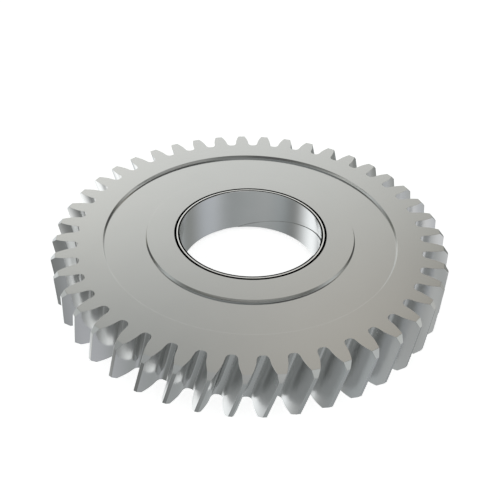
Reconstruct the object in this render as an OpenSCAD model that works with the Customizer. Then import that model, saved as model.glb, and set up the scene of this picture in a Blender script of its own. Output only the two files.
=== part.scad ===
/* [Teeth] */
// Number of teeth
teeth = 43; // [38:1:60]
// Module, measured square to the teeth
module_n = 4; // [3.75:0.25:6]
// Pressure angle in degrees, measured square to the teeth
pressure_angle = 14.5; // [14.5:0.5:17.5]
// Helix angle in degrees at the pitch circle, right-hand
helix_angle = 14.7; // [0:0.1:25]
// Height of a tooth above the pitch circle, in modules
addendum = 1.6; // [1:0.05:1.6]
// Depth of a gap below the pitch circle, in modules
dedendum = 1.55; // [1.25:0.05:1.6]
// Radius on the tips of the cutter that rounds the roots, in modules
cutter_tip = 0.4; // [0.2:0.05:0.45]
// How much wider than half the pitch each gap is cut, for backlash
gap_allowance = 0.2; // [0:0.02:0.6]
// Chamfer at 45 degrees on the ends of the teeth
tip_chamfer = 2.4; // [0.4:0.1:3]
// Azimuth in degrees of the first gap on the upper face
gap_azimuth = 6.5; // [0:0.1:8.3]

/* [Wheel] */
// Width of the toothed rim, and of the hub
face_width = 25; // [18:0.5:40]
// Thickness of the rim, from the roots of the gaps in to the recess
rim_depth = 11.7; // [8:0.1:15]
// Depth of the recess in each face
recess_depth = 1.5; // [0.6:0.1:6]
// How far each wall of the recess leans out, measured along the face
recess_lean = 0.5; // [0.3:0.1:2]
// Radius in the corners of the recess floor
recess_corner = 0.2; // [0.1:0.05:0.5]
// Diameter of the hub's flat face
hub_d = 100.5; // [90:0.5:110]
// Chamfer on both edges of the bore that holds the bush
seat_chamfer = 0.15; // [0.1:0.05:0.8]

/* [Bush] */
// Diameter of the running bore
bore_d = 69; // [60:0.5:76]
// Thickness of the bush's wall, lining included
bush_wall = 2.5; // [2.1:0.05:4]
// Thickness of the lining inside the bush
lining = 0.9; // [0.5:0.05:1]
// How far the lining stands back from each end of the bush
lining_back = 0.05; // [0.05:0.05:0.4]
// How far the bush's lower end stands back from the wheel's lower face
bush_back = 1.5; // [0:0.1:4]
// Width of the lead-in taper outside each end of the bush, along the face
lead_width = 1; // [0.3:0.05:1.1]
// Length of that taper along the bush
lead_length = 2.4; // [0.5:0.1:4]
// Width of the oil groove along the bore
groove_width = 2.6; // [1.5:0.1:4]
// Depth of the oil groove
groove_depth = 0.35; // [0.2:0.05:0.5]
// Rise of the oil groove in one turn, left-hand
groove_lead = 62.5; // [45:0.5:90]
// Azimuth in degrees where the groove leaves the bush's lower end
groove_azimuth = 110; // [0:1:359]

/* [Hidden] */

steel = [0.70, 0.70, 0.69];
bush_grey = [0.62, 0.64, 0.65];
round_fn = 180;       // facets shown on turned surfaces
slices = 2;           // steps along the teeth, enough for so small a twist
fillet_steps = 5;     // steps in the rounded root on each side of a gap
flank_steps = 6;      // steps up each flank
cut = 1;              // how far a cutter runs past the face that it opens

transverse_module = module_n / cos(helix_angle);
transverse_angle = atan(tan(pressure_angle) / cos(helix_angle));
pitch_r = teeth * transverse_module / 2;
base_r = pitch_r * cos(transverse_angle);
tip_r = pitch_r + addendum * module_n;
root_r = pitch_r - dedendum * module_n;
tooth_angle = 360 / teeth;
// Turn of the teeth about the axis for each millimetre of height
twist_rate = tan(helix_angle) / pitch_r * 180 / PI;

// The cutter is a rack: half the width of its tooth at the pitch line, the radius on its
// tips, the depth of that radius's centre, and the centre's distance from the tooth's middle
rack_half = (PI * transverse_module + 2 * gap_allowance) / 4;
rack_tip = cutter_tip * module_n;
rack_centre = dedendum * module_n - rack_tip;
rack_offset = rack_half - rack_centre * tan(transverse_angle) - rack_tip / cos(transverse_angle);

// Involute function, in degrees
function involute(a) = tan(a) * 180 / PI - a;

// Half the angle of a gap at radius r on the flanks
function gap_half(r) = rack_half / pitch_r * 180 / PI
    - involute(transverse_angle) + involute(acos(base_r / r));

// Point of the rounded root, as [radius, half angle], where the cutter's contact
// stands t degrees from the line through the wheel's centre
function root_point(t) =
    let (across = rack_centre * tan(t) + rack_tip * sin(t),
         up = pitch_r - rack_centre - rack_tip * cos(t),
         rolled = (rack_centre * tan(t) - rack_offset) / pitch_r * 180 / PI)
    [norm([across, up]), atan2(across, up) - rolled];

root_top = root_point(90 - transverse_angle);

// One side of a gap: the rounded root, the flank to a little past the tip of the tooth,
// then straight out past the blank
flank_end = tip_r + cut / 2;
half_gap = concat(
    [for (i = [0 : fillet_steps]) root_point(i * (90 - transverse_angle) / fillet_steps)],
    [for (i = [1 : flank_steps])
        let (r = root_top[0] + (flank_end - root_top[0]) * i / flank_steps) [r, gap_half(r)]],
    [[tip_r + cut, gap_half(flank_end)]]);

function polar(r, a) = [r * cos(a), r * sin(a)];
function gap_outline(azimuth) = concat(
    [for (i = [len(half_gap) - 1 : -1 : 0]) polar(half_gap[i][0], azimuth - half_gap[i][1])],
    [for (p = half_gap) polar(p[0], azimuth + p[1])]);

// Recess between rim and hub, measured on the wheel's face
recess_outer = root_r - rim_depth;
recess_inner = hub_d / 2;
seat_r = bore_d / 2 + bush_wall;
bush_low = bush_back;
bush_top = face_width;

module toothed_prism() {
    height = face_width + 2 * cut;
    start = gap_azimuth - twist_rate * (face_width + cut);
    outline = [for (k = [0 : teeth - 1]) each gap_outline(k * tooth_angle)];
    translate([0, 0, -cut]) rotate([0, 0, start])
        linear_extrude(height = height, twist = -twist_rate * height, slices = slices)
            polygon(outline);
}

// Half section of the turned blank, with the same recess in both faces
module blank_section() {
    polygon([
        [seat_r + seat_chamfer, 0], [tip_r - tip_chamfer, 0],
        [tip_r, tip_chamfer], [tip_r, face_width - tip_chamfer],
        [tip_r - tip_chamfer, face_width], [seat_r + seat_chamfer, face_width],
        [seat_r, face_width - seat_chamfer], [seat_r, seat_chamfer]]);
}

// Section of the recess in the upper face, with a small radius in both floor corners
module recess_section() {
    slope = atan2(recess_depth, recess_lean);
    corner = recess_corner * tan(slope / 2);
    arc = [for (t = [0 : 0.25 : 1]) t * slope];
    inner = recess_inner + recess_lean + corner;
    outer = recess_outer - recess_lean - corner;
    floor_z = face_width - recess_depth;
    polygon(concat(
        [for (a = arc) [outer + recess_corner * sin(a), floor_z + recess_corner * (1 - cos(a))]],
        [[recess_outer + recess_lean * cut / recess_depth, face_width + cut],
         [recess_inner - recess_lean * cut / recess_depth, face_width + cut]],
        [for (i = [len(arc) - 1 : -1 : 0])
            [inner - recess_corner * sin(arc[i]), floor_z + recess_corner * (1 - cos(arc[i]))]]));
}

module gear_wheel() {
    color(steel) intersection() {
        rotate_extrude($fn = round_fn) difference() {
            blank_section();
            recess_section();
            translate([0, face_width]) mirror([0, 1]) recess_section();
        }
        toothed_prism();
    }
}

// Path of a square cutter, swept up the bore from below the bush to above it
module oil_groove() {
    turn_steps = 60;
    run = bush_top - bush_low + 2 * groove_width;
    near = bore_d / 2 - cut;
    deep = bore_d / 2 + groove_depth;
    half = groove_width / 2;
    section = [[near, -half], [deep, -half], [deep, half], [near, half]];
    n = len(section);
    points = [for (k = [0 : turn_steps])
        let (rise = k * run / turn_steps - groove_width,
             a = groove_azimuth - rise / groove_lead * 360)
        for (p = section) [p[0] * cos(a), p[0] * sin(a), bush_low + rise + p[1]]];
    sides = [for (k = [0 : turn_steps - 1], j = [0 : n - 1])
        let (a = k * n + j, b = k * n + (j + 1) % n)
        each [[a, b + n, b], [a, a + n, b + n]]];
    first = [for (j = [0 : n - 1]) j];
    last = [for (j = [n - 1 : -1 : 0]) turn_steps * n + j];
    polyhedron(points, concat(sides, [first, last]));
}

// Steel-backed bush, pressed into the wheel with its upper end flush
module bush() {
    in_r = bore_d / 2;
    step_r = in_r + lining;
    color(bush_grey) difference() {
        rotate_extrude($fn = round_fn) polygon([
            [in_r, bush_low + lining_back], [step_r, bush_low + lining_back],
            [step_r, bush_low], [seat_r - lead_width, bush_low],
            [seat_r, bush_low + lead_length], [seat_r, bush_top - lead_length],
            [seat_r - lead_width, bush_top], [step_r, bush_top],
            [step_r, bush_top - lining_back], [in_r, bush_top - lining_back]]);
        oil_groove();
    }
}

gear_wheel();
bush();
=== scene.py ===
import math

import bmesh
import bpy
from mathutils import Matrix, Vector


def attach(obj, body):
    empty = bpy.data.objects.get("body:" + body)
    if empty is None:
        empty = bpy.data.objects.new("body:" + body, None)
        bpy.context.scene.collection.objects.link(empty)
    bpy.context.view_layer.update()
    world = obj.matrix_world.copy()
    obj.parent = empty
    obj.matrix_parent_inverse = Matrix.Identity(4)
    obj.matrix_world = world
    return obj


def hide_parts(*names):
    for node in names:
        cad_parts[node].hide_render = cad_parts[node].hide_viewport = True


# Gear wheel with helical teeth and a pressed-in bush. Sizes in the dictionaries are in millimetres
# and degrees unless a note says otherwise. The meshes are in metres, in the frame of the CAD part:
# z = 0 is the lower face, and the bore stands on the origin.

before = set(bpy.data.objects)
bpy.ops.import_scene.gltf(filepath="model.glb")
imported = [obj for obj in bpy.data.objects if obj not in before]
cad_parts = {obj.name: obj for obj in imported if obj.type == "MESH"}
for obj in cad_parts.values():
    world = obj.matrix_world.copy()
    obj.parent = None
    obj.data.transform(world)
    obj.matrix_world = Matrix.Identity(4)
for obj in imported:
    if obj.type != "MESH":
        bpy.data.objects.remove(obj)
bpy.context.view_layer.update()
scene = bpy.context.scene
mm = 0.001


# Camera, at the angle of the photograph
cameraSettings = {
    "place": (0.0, -271.86, 227.58),
    "target": (-0.016, -15.578, 25.0),
    "roll": 1.752,
    "lens": 50.0,
    "sensor": 36.0,
    "nearest": 10.0,         # what lies between these two distances is seen
    "farthest": 20000.0,
}


def addCamera(settings):
    place = Vector(settings["place"]) * mm
    forward = (Vector(settings["target"]) * mm - place).normalized()
    right = forward.cross(Vector((0, 0, 1))).normalized()
    up = right.cross(forward)
    level = Matrix((right, up, -forward)).transposed()
    turn = level @ Matrix.Rotation(math.radians(settings["roll"]), 3, "Z")
    data = bpy.data.cameras.new("camera")
    data.lens = settings["lens"]
    data.sensor_width = settings["sensor"]
    data.clip_start = settings["nearest"] * mm
    data.clip_end = settings["farthest"] * mm
    camera = bpy.data.objects.new("camera", data)
    camera.matrix_world = Matrix.Translation(place) @ turn.to_4x4()
    scene.collection.objects.link(camera)
    scene.camera = camera


addCamera(cameraSettings)
print("camera placed")


# Small helpers for the meshes

meshRules = {
    "levelWithin": 0.0001,   # points this close to a height count as standing at it
    "cutWithin": 0.00001,    # points this close to a cutting plane aren't cut again
    "smoothBelow": 32.0,     # edges that bend less are shaded smooth
    "faceWeight": 50,        # Blender's own value
}


# point at a radius in millimetres and an angle in degrees
def polar(radius, angle, height=0.0):
    a = math.radians(angle)
    return Vector((radius * math.cos(a), radius * math.sin(a), height)) * mm


def addChain(bm, points):
    verts = [bm.verts.new(p) for p in points]
    edges = [bm.edges.new(pair) for pair in zip(verts, verts[1:])]
    return verts, edges


def turnAbout(bm, geom, angle, steps, rise=0.0, copies=False):
    return bmesh.ops.spin(
        bm, geom=geom, cent=(0, 0, 0), axis=(0, 0, 1), dvec=(0, 0, rise * mm / steps),
        angle=math.radians(angle), steps=steps, use_merge=False, use_normal_flip=False,
        use_duplicate=copies)


def cutOff(bm, place, outward):
    return bmesh.ops.bisect_plane(
        bm, geom=bm.verts[:] + bm.edges[:] + bm.faces[:], dist=meshRules["cutWithin"] * mm,
        plane_co=place, plane_no=outward, clear_outer=True)


# edges with less than two faces that lie at one height, farther out than a radius
def openEdgesAt(bm, height, beyond=0.0):
    near = meshRules["levelWithin"] * mm
    return [
        e for e in bm.edges if len(e.link_faces) < 2
        and all(abs(v.co.z - height * mm) < near and v.co.xy.length > beyond * mm for v in e.verts)]


# points where a chain of edges ends
def endsOf(edges):
    verts = dict.fromkeys(v for e in edges for v in e.verts)
    return [v for v in verts if sum(e in edges for e in v.link_edges) == 1]


def facesOut(bm):
    bmesh.ops.recalc_face_normals(bm, faces=bm.faces)
    if bm.calc_volume(signed=True) < 0:
        bmesh.ops.reverse_faces(bm, faces=bm.faces)


def finishPiece(bm, name, node):
    facesOut(bm)
    mesh = bpy.data.meshes.new(name)
    bm.to_mesh(mesh)
    bm.free()
    mesh.shade_smooth()
    mesh.set_sharp_from_angle(angle=math.radians(meshRules["smoothBelow"]))
    piece = bpy.data.objects.new(name, mesh)
    scene.collection.objects.link(piece)
    # keeps the flat faces flat beside the bevels
    weights = piece.modifiers.new("evenShading", "WEIGHTED_NORMAL")
    weights.mode = "FACE_AREA"
    weights.weight = meshRules["faceWeight"]
    weights.keep_sharp = True
    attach(piece, "root")
    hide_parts(node)
    return piece


# Gear wheel

gearWheel = {
    "teeth": 43,
    "moduleNormal": 4.0,
    "pressureAngle": 14.5,
    "helixAngle": 14.7,
    "addendum": 1.6,         # in modules
    "dedendum": 1.55,        # in modules
    "cutterTip": 0.4,        # in modules
    "gapAllowance": 0.2,
    "tipChamfer": 2.4,
    "firstGap": 6.5,         # azimuth of a gap on the upper face
    "faceWidth": 25.0,
    "rimDepth": 11.7,
    "recessDepth": 1.5,
    "recessLean": 0.5,
    "recessCorner": 0.2,
    "hubDiameter": 100.5,
    "seatRadius": 37.0,
    "seatChamfer": 0.15,
    "toothEdge": 0.08,       # broken edges round the teeth
    "faceEdge": 0.08,        # broken edges of the recesses
    "edgeSteps": 2,
    "edgeBend": 24.0,        # edges that bend more than this are broken
    "coastFrom": 0.4,        # the duller flanks begin this far above the root
    "coastFacing": 0.5,      # how squarely they face back round the wheel, at least
    "rootSteps": 9,
    "flankSteps": 9,
    "landSteps": 3,
    "heightSteps": 10,
    "turnSteps": 6,          # steps of the turned surfaces behind each tooth
    "cornerSteps": 5,        # steps in the corners of the recess floor
    "weldWithin": 0.0002,
}


# one side of a gap from the root to the tip, as (radius, angle from the middle of the gap)
def gapSide(wheel):
    helix = math.radians(wheel["helixAngle"])
    module = wheel["moduleNormal"]
    across = module / math.cos(helix)
    press = math.atan(math.tan(math.radians(wheel["pressureAngle"])) / math.cos(helix))
    pitch = wheel["teeth"] * across / 2
    base = pitch * math.cos(press)
    tip = pitch + wheel["addendum"] * module
    rackHalf = (math.pi * across + 2 * wheel["gapAllowance"]) / 4
    rackTip = wheel["cutterTip"] * module
    rackCentre = wheel["dedendum"] * module - rackTip
    rackOffset = rackHalf - rackCentre * math.tan(press) - rackTip / math.cos(press)
    side = [(pitch - wheel["dedendum"] * module, 0.0)]
    for i in range(wheel["rootSteps"] + 1):           # root rounded by the tip of the cutter
        t = i / wheel["rootSteps"] * (math.pi / 2 - press)
        x = rackCentre * math.tan(t) + rackTip * math.sin(t)
        y = pitch - rackCentre - rackTip * math.cos(t)
        rolled = (rackCentre * math.tan(t) - rackOffset) / pitch
        side.append((math.hypot(x, y), math.degrees(math.atan2(x, y) - rolled)))
    rootTop = side[-1][0]
    for i in range(1, wheel["flankSteps"] + 1):       # involute flank
        radius = rootTop + (tip - rootTop) * i / wheel["flankSteps"]
        a = math.acos(base / radius)
        half = rackHalf / pitch - (math.tan(press) - press) + (math.tan(a) - a)
        side.append((radius, math.degrees(half)))
    twist = math.degrees(math.tan(helix) / pitch * wheel["faceWidth"])
    return side, twist


# one recess as (radius, height) from the rim inwards, with a radius in both floor corners
def recessProfile(wheel, outer, up):
    depth, lean, corner = wheel["recessDepth"], wheel["recessLean"], wheel["recessCorner"]
    inner = wheel["hubDiameter"] / 2
    slope = math.atan2(depth, lean)
    reach = corner * math.tan(slope / 2)
    steps = wheel["cornerSteps"]
    arc = [slope * i / steps for i in range(steps + 1)]
    wall = [(corner * math.sin(a), corner * (1 - math.cos(a))) for a in arc]
    points = [(outer, 0.0)]
    points += [(outer - lean - reach + r, -depth + z) for r, z in reversed(wall)]
    points += [(inner + lean + reach - r, -depth + z) for r, z in wall]
    points += [(inner, 0.0)]
    height = wheel["faceWidth"] if up else 0.0
    return [(r, height + (z if up else -z)) for r, z in points]


# one tooth, screwed up from the lower face to the upper one, with a chamfer at both ends
def addTooth(bm, wheel, side, twist):
    toothAngle = 360.0 / wheel["teeth"]
    width = wheel["faceWidth"]
    lowGap = wheel["firstGap"] - twist
    tipRadius, tipHalf = side[-1]
    land = toothAngle - 2 * tipHalf
    outline = [polar(r, lowGap + a) for r, a in side]
    outline += [
        polar(tipRadius, lowGap + tipHalf + land * i / wheel["landSteps"])
        for i in range(1, wheel["landSteps"])]
    outline += [polar(r, lowGap + toothAngle - a) for r, a in reversed(side)]
    verts, edges = addChain(bm, outline)
    turnAbout(bm, verts + edges, twist, wheel["heightSteps"], rise=width)

    for height, up, gap in ((width, 1, wheel["firstGap"]), (0.0, -1, lowGap)):
        middle = gap + toothAngle / 2
        outward = polar(1.0, middle) / mm
        start = polar(tipRadius - wheel["tipChamfer"], middle, height)
        cut = cutOff(bm, start, (outward + Vector((0, 0, up))).normalized())
        cutEdges = [g for g in cut["geom_cut"] if isinstance(g, bmesh.types.BMEdge)]
        cutEdges.append(bm.edges.new(endsOf(cutEdges)))
        bmesh.ops.contextual_create(bm, geom=cutEdges)


def buildGearWheel(wheel):
    bm = bmesh.new()
    side, twist = gapSide(wheel)
    toothAngle = 360.0 / wheel["teeth"]
    width = wheel["faceWidth"]
    addTooth(bm, wheel, side, twist)

    # turned surfaces behind the tooth: recess, hub, seat of the bush, and the same again below
    rootRadius, hubRadius = side[0][0], wheel["hubDiameter"] / 2
    recessOuter = rootRadius - wheel["rimDepth"]
    seat, chamfer = wheel["seatRadius"], wheel["seatChamfer"]
    middleOfRim = (rootRadius + recessOuter) / 2
    middleOfRecess = (recessOuter + hubRadius) / 2
    middleOfHub = (hubRadius + seat) / 2
    profile = recessProfile(wheel, recessOuter, True)
    profile += [
        (seat + chamfer, width), (seat, width - chamfer), (seat, chamfer), (seat + chamfer, 0.0)]
    profile += reversed(recessProfile(wheel, recessOuter, False))
    verts, edges = addChain(bm, [polar(r, wheel["firstGap"], z) for r, z in profile])
    turnAbout(bm, verts + edges, toothAngle, wheel["turnSteps"])

    # flat of the rim between the tooth and the recess, on both faces
    for height in (width, 0.0):
        rimEdges = openEdgesAt(bm, height, beyond=middleOfRecess)
        ends = sorted(endsOf(rimEdges), key=lambda v: (
            v.co.xy.length < middleOfRim * mm, math.atan2(v.co.y, v.co.x)))
        rimEdges += [bm.edges.new((ends[0], ends[2])), bm.edges.new((ends[1], ends[3]))]
        bmesh.ops.contextual_create(bm, geom=rimEdges)

    # all the teeth
    everything = bm.verts[:] + bm.edges[:] + bm.faces[:]
    turnAbout(bm, everything, 360.0 - toothAngle, wheel["teeth"] - 1, copies=True)
    bmesh.ops.remove_doubles(bm, verts=bm.verts, dist=wheel["weldWithin"] * mm)
    facesOut(bm)

    # broken edges
    edgeLayer = bm.faces.layers.float.new("brokenEdge")
    bend = math.radians(wheel["edgeBend"])
    sharp = [e for e in bm.edges if e.is_manifold and e.calc_face_angle() > bend]
    toothEdges = [e for e in sharp if max(v.co.xy.length for v in e.verts) > middleOfRim * mm]
    taken = set(toothEdges)
    faceEdges = [
        e for e in sharp if e not in taken
        and min(v.co.xy.length for v in e.verts) > middleOfHub * mm]
    for group, size in ((toothEdges, wheel["toothEdge"]), (faceEdges, wheel["faceEdge"])):
        made = bmesh.ops.bevel(
            bm, geom=group, offset=size * mm, offset_type="OFFSET", affect="EDGES",
            segments=wheel["edgeSteps"], profile=0.5, material=-1, clamp_overlap=True)
        for face in made["faces"]:
            face[edgeLayer] = 1.0

    # marks for the steel: painted shade on the seat, where it shows beside the bush, and the
    # flanks that carry no load, so that they stay duller
    darkLayer = bm.faces.layers.float.new("paintedJointShade")
    coastLayer = bm.faces.layers.float.new("coastFlank")
    for face in bm.faces:
        place, turned = face.calc_center_median(), face.normal
        # painted shade on the seat and its chamfer, in the joint beside the bush
        if place.xy.length < (seat + chamfer) * mm:
            face[darkLayer] = 1.0
        around = Vector((-place.y, place.x, 0)).normalized()
        onTooth = place.xy.length > (rootRadius + wheel["coastFrom"]) * mm
        if onTooth and around.dot(turned) < -wheel["coastFacing"]:
            face[coastLayer] = 1.0
    return finishPiece(bm, "gearWheel", "gear_wheel")


wheelPiece = buildGearWheel(gearWheel)
print("gear wheel built", len(wheelPiece.data.polygons), "faces")


# Bush

bush = {
    "boreRadius": 34.5,
    "wall": 2.5,
    "lining": 0.9,
    "liningBack": 0.05,
    "boreEdge": 0.1,         # broken edge at each end of the bore
    "lowEnd": 1.5,
    "topEnd": 25.0,
    "leadWidth": 1.0,
    "leadLength": 2.4,
    "grooveWidth": 2.6,
    "grooveDepth": 0.35,
    "grooveEdge": 0.05,      # how far each side of the groove leans
    "grooveLead": 62.5,
    "grooveAzimuth": 110.0,
    "grooveStart": 90.0,     # the sweep starts this much of a turn before the groove's lower end
    "steps": 240,
    "weldWithin": 0.001,
}


# the bore wall is one upright line with the groove's hollow in it, screwed round left-handed:
# a long way out of the bush at both ends, then trimmed to length
def addBore(bm, ring, low, top):
    inner, half = ring["boreRadius"], ring["grooveWidth"] / 2
    deep = inner + ring["grooveDepth"]
    lean, far = ring["grooveEdge"], 2 * ring["grooveLead"]
    line = [
        (inner, -far), (inner, -half), (deep, -half + lean),
        (deep, half - lean), (inner, half), (inner, far)]
    start = ring["grooveAzimuth"] + ring["grooveStart"]
    startRise = ring["lowEnd"] - ring["grooveStart"] / 360.0 * ring["grooveLead"]
    verts, edges = addChain(bm, [polar(r, start, z + startRise) for r, z in line])
    turnAbout(bm, verts + edges, -360.0, ring["steps"], rise=ring["grooveLead"])
    cutOff(bm, (0, 0, low * mm), (0, 0, -1))
    cutOff(bm, (0, 0, top * mm), (0, 0, 1))
    bmesh.ops.remove_doubles(bm, verts=bm.verts, dist=ring["weldWithin"] * mm)


def buildBush(ring):
    bm = bmesh.new()
    inner, broken = ring["boreRadius"], ring["boreEdge"]
    low, top = ring["lowEnd"] + ring["liningBack"], ring["topEnd"] - ring["liningBack"]
    addBore(bm, ring, low + broken, top - broken)

    # from each end of the bore outwards: broken edge, end of the lining, its step, end of the
    # backing, lead-in. The end of the lining and the lead-in get painted shade, the rest is turned
    # steel, made lighter for edge wear and a painted highlight
    outer = inner + ring["wall"]
    step = inner + ring["lining"]
    lead, run = ring["leadWidth"], ring["leadLength"]
    darkLayer = bm.faces.layers.float.new("paintedJointShade")
    edgeLayer = bm.faces.layers.float.new("brokenEdge")
    rings = []
    for height, end, inward in ((low, ring["lowEnd"], 1), (top, ring["topEnd"], -1)):
        loop = openEdgesAt(bm, height + inward * broken)
        for radius, z, dark in (
                (inner + broken, height, 0), (step, height, 1), (step, end, 1),
                (outer - lead, end, 0), (outer, end + inward * run, 1)):
            grown = bmesh.ops.extrude_edge_only(bm, edges=loop)["geom"]
            for v in (g for g in grown if isinstance(g, bmesh.types.BMVert)):
                reach = max(radius, v.co.xy.length / mm)        # the groove's floor stays put
                v.co = polar(reach, math.degrees(math.atan2(v.co.y, v.co.x)), z)
            for face in (g for g in grown if isinstance(g, bmesh.types.BMFace)):
                # painted shade on the end of the lining, its step and the lead-in
                face[darkLayer] = dark
                # the other faces made lighter for edge wear and a painted highlight
                face[edgeLayer] = 1 - dark
            edges = (g for g in grown if isinstance(g, bmesh.types.BMEdge))
            loop = [e for e in edges if len(e.link_faces) == 1]
        rings += loop
    bmesh.ops.bridge_loops(bm, edges=rings)
    return finishPiece(bm, "bushRing", "bush")


bushPiece = buildBush(bush)
print("bush built", len(bushPiece.data.polygons), "faces")


# Node helpers

# a node with its values set, and its inputs given as numbers or as other nodes' outputs
def addNode(tree, kind, inputs=None, **values):
    node = tree.nodes.new(kind)
    for name, value in values.items():
        setattr(node, name, value)
    for name, value in (inputs or {}).items():
        if isinstance(value, bpy.types.NodeSocket):
            tree.links.new(value, node.inputs[name])
        else:
            node.inputs[name].default_value = value
    return node


# the value of a Math node; MULTIPLY_ADD gives first * second + third
def addMath(tree, operation, *inputs, **values):
    return addNode(tree, "ShaderNodeMath", dict(enumerate(inputs)), operation=operation,
                   **values).outputs[0]


def addVectorMath(tree, operation, inputs, output=0, **values):
    return addNode(tree, "ShaderNodeVectorMath", inputs, operation=operation,
                   **values).outputs[output]


# the second value where the factor is 1, and the first where it is 0
def addMix(tree, factor, first, second):
    return addNode(tree, "ShaderNodeMix", {0: factor, 2: first, 3: second}).outputs[0]


def addColourMix(tree, factor, first, second):
    return addNode(tree, "ShaderNodeMix", {0: factor, 6: first, 7: (*second, 1)},
                   data_type="RGBA").outputs[2]


def addAttribute(tree, name):
    return addNode(tree, "ShaderNodeAttribute", attribute_name=name).outputs["Fac"]


# Patterns that both steels use

patterns = {
    "wallFrom": 0.85,        # faces that look this squarely outwards or inwards are turned walls
    "lineDetail": 3.0,
    "lineRoughness": 0.6,
    "blotchDetail": 4.0,
    "blotchRoughness": 0.55,
    "blotchSpread": 4.0,     # widens the noise to about minus one to one
}


def startGroup(name, inputs, outputs):
    group = bpy.data.node_groups.new(name, "ShaderNodeTree")
    for title, kind in inputs:
        group.interface.new_socket(name=title, in_out="INPUT", socket_type=kind)
    for title in outputs:
        group.interface.new_socket(name=title, in_out="OUTPUT", socket_type="NodeSocketFloat")
    given = addNode(group, "NodeGroupInput").outputs
    return group, given, addNode(group, "NodeGroupOutput").inputs


# fine lines left by the tool: rings on the end faces, hoops on the turned walls
def makeToolLines(looks):
    inputs = [("Vector", "NodeSocketVector"), ("Normal", "NodeSocketVector"),
              ("Spacing", "NodeSocketFloat")]
    group, given, result = startGroup("toolLines", inputs, ["Lines"])
    place = addNode(group, "ShaderNodeSeparateXYZ", {0: given["Vector"]})
    across = {0: place.outputs[0], 1: place.outputs[1]}
    flat = addNode(group, "ShaderNodeCombineXYZ", across).outputs[0]
    radius = addVectorMath(group, "LENGTH", {0: flat}, "Value")
    outward = addVectorMath(group, "NORMALIZE", {0: flat})
    facing = addVectorMath(group, "DOT_PRODUCT", {0: outward, 1: given["Normal"]}, "Value")
    squarely = addMath(group, "ABSOLUTE", facing)
    isWall = addMath(group, "GREATER_THAN", squarely, looks["wallFrom"])
    along = addMix(group, isWall, radius, place.outputs[2])
    spacing = addMath(group, "MULTIPLY", given["Spacing"], mm)
    count = addMath(group, "DIVIDE", along, spacing)
    lines = addNode(
        group, "ShaderNodeTexNoise",
        {"W": count, "Scale": 1.0, "Detail": looks["lineDetail"],
         "Roughness": looks["lineRoughness"]},
        noise_dimensions="1D")
    group.links.new(lines.outputs[0], result["Lines"])
    return group


# slow change of the satin finish over the surface, from about minus one to one
def makeSatinBlotches(looks):
    inputs = [("Vector", "NodeSocketVector"), ("Size", "NodeSocketFloat")]
    group, given, result = startGroup("satinBlotches", inputs, ["Change"])
    scale = addMath(group, "DIVIDE", 1 / mm, given["Size"])
    noise = addNode(
        group, "ShaderNodeTexNoise",
        {"Vector": given["Vector"], "Scale": scale, "Detail": looks["blotchDetail"],
         "Roughness": looks["blotchRoughness"]})
    spread = looks["blotchSpread"]
    change = addMath(group, "MULTIPLY_ADD", noise.outputs[0], spread, -spread / 2)
    group.links.new(change, result["Change"])
    return group


toolLines = makeToolLines(patterns)
satinBlotches = makeSatinBlotches(patterns)


# Steels

wheelFinish = {
    "colour": (0.70, 0.705, 0.70),
    # broken edges lighter: edge wear and a painted highlight
    "wearAndPaintedHighlight": (0.78, 0.78, 0.77),
    # colour of the painted shade in the joints
    "dark": (0.004, 0.004, 0.004),
    "roughness": 0.13,
    "coastRoughness": 0.285,
    "darkRoughness": 0.7,
    "roughnessChange": 0.015,
    "lineSpacing": 0.3,
    "lineDepth": 0.0002,
    "lineTint": 0.03,
    "blotchSize": 14.0,
    "blotchTint": 0.012,
}

bushFinish = {
    "colour": (0.735, 0.742, 0.738),
    # broken edges and the end of the backing lighter: edge wear and a painted highlight
    "wearAndPaintedHighlight": (1.0, 1.0, 0.99),
    # colour of the painted shade in the joints
    "dark": (0.004, 0.004, 0.004),
    "roughness": 0.13,
    "darkRoughness": 0.7,
    "roughnessChange": 0.02,
    "lineSpacing": 0.22,
    "lineDepth": 0.0002,
    "lineTint": 0.03,
    "blotchSize": 9.0,
    "blotchTint": 0.015,
}


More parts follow.
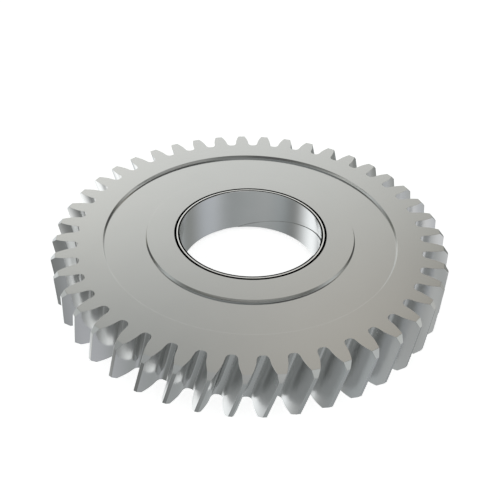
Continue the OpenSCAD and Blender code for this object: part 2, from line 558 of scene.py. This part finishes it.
def makeSteel(name, finish):
    material = bpy.data.materials.new(name)
    material.use_nodes = True
    tree = material.node_tree
    shader = tree.nodes["Principled BSDF"]
    place = addNode(tree, "ShaderNodeTexCoord").outputs["Object"]
    facing = addNode(tree, "ShaderNodeNewGeometry").outputs["Normal"]
    lines = addNode(tree, "ShaderNodeGroup", node_tree=toolLines).outputs[0]
    blotches = addNode(tree, "ShaderNodeGroup", node_tree=satinBlotches).outputs[0]
    for output in (lines, blotches):
        tree.links.new(place, output.node.inputs["Vector"])
    tree.links.new(facing, lines.node.inputs["Normal"])
    lines.node.inputs["Spacing"].default_value = finish["lineSpacing"]
    blotches.node.inputs["Size"].default_value = finish["blotchSize"]

    # colour: lines and blotches, then the broken edges made lighter for edge wear and a painted
    # highlight, then the painted shade in the joints
    lineTint = finish["lineTint"]
    tint = addMath(tree, "MULTIPLY_ADD", lines, lineTint, 1 - lineTint / 2)
    tint = addMath(tree, "MULTIPLY_ADD", blotches, finish["blotchTint"], tint)
    plain = addVectorMath(tree, "SCALE", {0: finish["colour"], "Scale": tint})
    # painted shade in the joint between bush and wheel
    dark = addAttribute(tree, "paintedJointShade")
    # broken edges lighter for edge wear and a painted highlight
    bright = addColourMix(tree, addAttribute(tree, "brokenEdge"), plain, finish["wearAndPaintedHighlight"])
    shown = addColourMix(tree, dark, bright, finish["dark"])
    tree.links.new(shown, shader.inputs["Base Color"])

    # roughness changes with the blotches, the flanks that carry no load are duller, and the
    # painted shade in the joints dullest
    even = finish["roughness"]
    coast = addAttribute(tree, "coastFlank")
    level = addMix(tree, coast, even, finish.get("coastRoughness", even))
    change = addMath(tree, "MULTIPLY_ADD", blotches, finish["roughnessChange"], level)
    dull = addMix(tree, dark, change, finish["darkRoughness"])
    tree.links.new(dull, shader.inputs["Roughness"])
    shader.inputs["Metallic"].default_value = 1

    bump = addNode(
        tree, "ShaderNodeBump", {"Height": lines, "Distance": finish["lineDepth"] * mm})
    tree.links.new(bump.outputs[0], shader.inputs["Normal"])
    return material


wheelPiece.data.materials.append(makeSteel("wheelSteel", wheelFinish))
bushPiece.data.materials.append(makeSteel("bushSteel", bushFinish))
print("materials made")


# Studio: soft lights all round, seen only as reflections and as light

studio = {
    "fill": (0.462, 0.487, 0.496),
    "darkest": (0.12, 0.12, 0.12),
    "backdrop": (0.93, 0.93, 0.93),
    # name: (azimuth, elevation, tightness, (red, green, blue)); azimuth 270 is the side of the
    # camera, and a shade takes light away
    "softLights": {
        "frontRightHigh": (295, 52, 28, (0.618, 0.618, 0.632)),
        "backRightHigh": (73, 50, 28, (0.321, 0.283, 0.242)),
        "frontHigh": (263, 44, 14, (0.455, 0.454, 0.448)),
        "frontRightTop": (315, 39, 28, (0.574, 0.595, 0.596)),
        "frontLeftTop": (230, 36, 8, (0.674, 0.700, 0.721)),
        "rightFrontTop": (335, 28, 28, (0.717, 0.742, 0.772)),
        "backRightShade": (48, 28, 4, (-0.650, -0.669, -0.683)),
        "frontLeftShade": (240, 28, 4, (-1.017, -1.052, -1.073)),
        "rightFrontShade": (336, 28, 4, (-0.668, -0.697, -0.728)),
        "backLeftShade": (144, 28, 10, (-0.504, -0.531, -0.581)),
        "backTop": (113, 27, 28, (0.650, 0.634, 0.607)),
        "backRightTop": (80, 20, 14, (0.784, 0.786, 0.769)),
        "leftFrontTop": (218, 19, 8, (0.320, 0.326, 0.319)),
        "rightTop": (355, 18, 28, (0.458, 0.482, 0.490)),
        "left": (185, 13, 28, (0.477, 0.504, 0.508)),
        "right": (15, 9, 8, (0.796, 0.804, 0.805)),
        "frontRight": (310, -3, 28, (0.405, 0.406, 0.409)),
        "front": (278, -9, 28, (0.465, 0.460, 0.453)),
        "rightFront": (330, -12, 28, (0.638, 0.626, 0.630)),
        "frontLeft": (245, -14, 14, (0.433, 0.436, 0.438)),
        "backLeftLow": (160, -17, 8, (1.303, 1.351, 1.386)),
        "rightLowShade": (0, -20, 4, (-0.445, -0.478, -0.531)),
        "leftLowShade": (192, -20, 4, (-0.732, -0.782, -0.815)),
        "frontLeftLow": (213, -20, 14, (0.577, 0.628, 0.660)),
        "rightLow": (351, -22, 8, (0.550, 0.585, 0.669)),
        "backLeftUnder": (136, -54, 28, (1.176, 1.161, 1.140)),
        "under": (293, -82, 28, (0.193, 0.181, 0.212)),
    },
}


def direction(azimuth, elevation):
    a, e = math.radians(azimuth), math.radians(elevation)
    return Vector((math.cos(a) * math.cos(e), math.sin(a) * math.cos(e), math.sin(e)))


def addStudio(settings):
    world = bpy.data.worlds.new("studio")
    world.use_nodes = True
    tree = world.node_tree
    toward = addNode(tree, "ShaderNodeTexCoord").outputs["Generated"]
    fill = dict(enumerate(settings["fill"]))
    total = addNode(tree, "ShaderNodeCombineXYZ", fill).outputs[0]
    for name, (azimuth, elevation, tightness, colour) in settings["softLights"].items():
        middle = direction(azimuth, elevation)
        facing = addVectorMath(tree, "DOT_PRODUCT", {0: toward, 1: middle}, "Value", label=name)
        fall = addMath(tree, "MULTIPLY_ADD", facing, tightness, -tightness)
        glow = addMath(tree, "EXPONENT", fall)
        total = addVectorMath(tree, "MULTIPLY_ADD", {0: glow, 1: colour, 2: total})
    total = addVectorMath(tree, "MAXIMUM", {0: total, 1: settings["darkest"]})
    # beyond the floor the camera sees a pale backdrop
    path = addNode(tree, "ShaderNodeLightPath")
    seen = addColourMix(tree, path.outputs["Is Camera Ray"], total, settings["backdrop"])
    tree.links.new(seen, tree.nodes["Background"].inputs["Color"])
    scene.world = world


# Floor, plain and pale

floorSettings = {
    "reach": 4000.0,         # from the middle to each side
    "drop": 0.1,             # how far below the wheel it lies
    "paint": (0.9, 0.9, 0.9),
    "paintRoughness": 1,
    "shine": 0,
    "glowColour": (1, 1, 1),
    "glow": 0.8,
}


def addFloor(settings):
    mesh = bpy.data.meshes.new("floor")
    bm = bmesh.new()
    bmesh.ops.create_grid(bm, x_segments=1, y_segments=1, size=settings["reach"] * mm)
    bm.to_mesh(mesh)
    bm.free()
    floor = bpy.data.objects.new("floor", mesh)
    floor.location.z = -settings["drop"] * mm
    scene.collection.objects.link(floor)
    material = bpy.data.materials.new("paleFloor")
    material.use_nodes = True
    tree = material.node_tree
    paint = tree.nodes["Principled BSDF"]
    paint.inputs["Base Color"].default_value = (*settings["paint"], 1)
    paint.inputs["Roughness"].default_value = settings["paintRoughness"]
    paint.inputs["Specular IOR Level"].default_value = settings["shine"]
    paint.inputs["Emission Color"].default_value = (*settings["glowColour"], 1)
    paint.inputs["Emission Strength"].default_value = settings["glow"]
    # only the camera sees it, and only from above: the steel mirrors the lights below instead
    clear = addNode(tree, "ShaderNodeBsdfTransparent").outputs[0]
    camera = addNode(tree, "ShaderNodeLightPath").outputs["Is Camera Ray"]
    below = addNode(tree, "ShaderNodeNewGeometry").outputs["Backfacing"]
    shown = addMath(tree, "SUBTRACT", camera, below, use_clamp=True)
    mix = addNode(tree, "ShaderNodeMixShader", {0: shown, 1: clear, 2: paint.outputs[0]})
    tree.links.new(mix.outputs[0], tree.nodes["Material Output"].inputs["Surface"])
    mesh.materials.append(material)


addStudio(studio)
addFloor(floorSettings)
scene.view_settings.view_transform = "Standard"
print("studio lit")
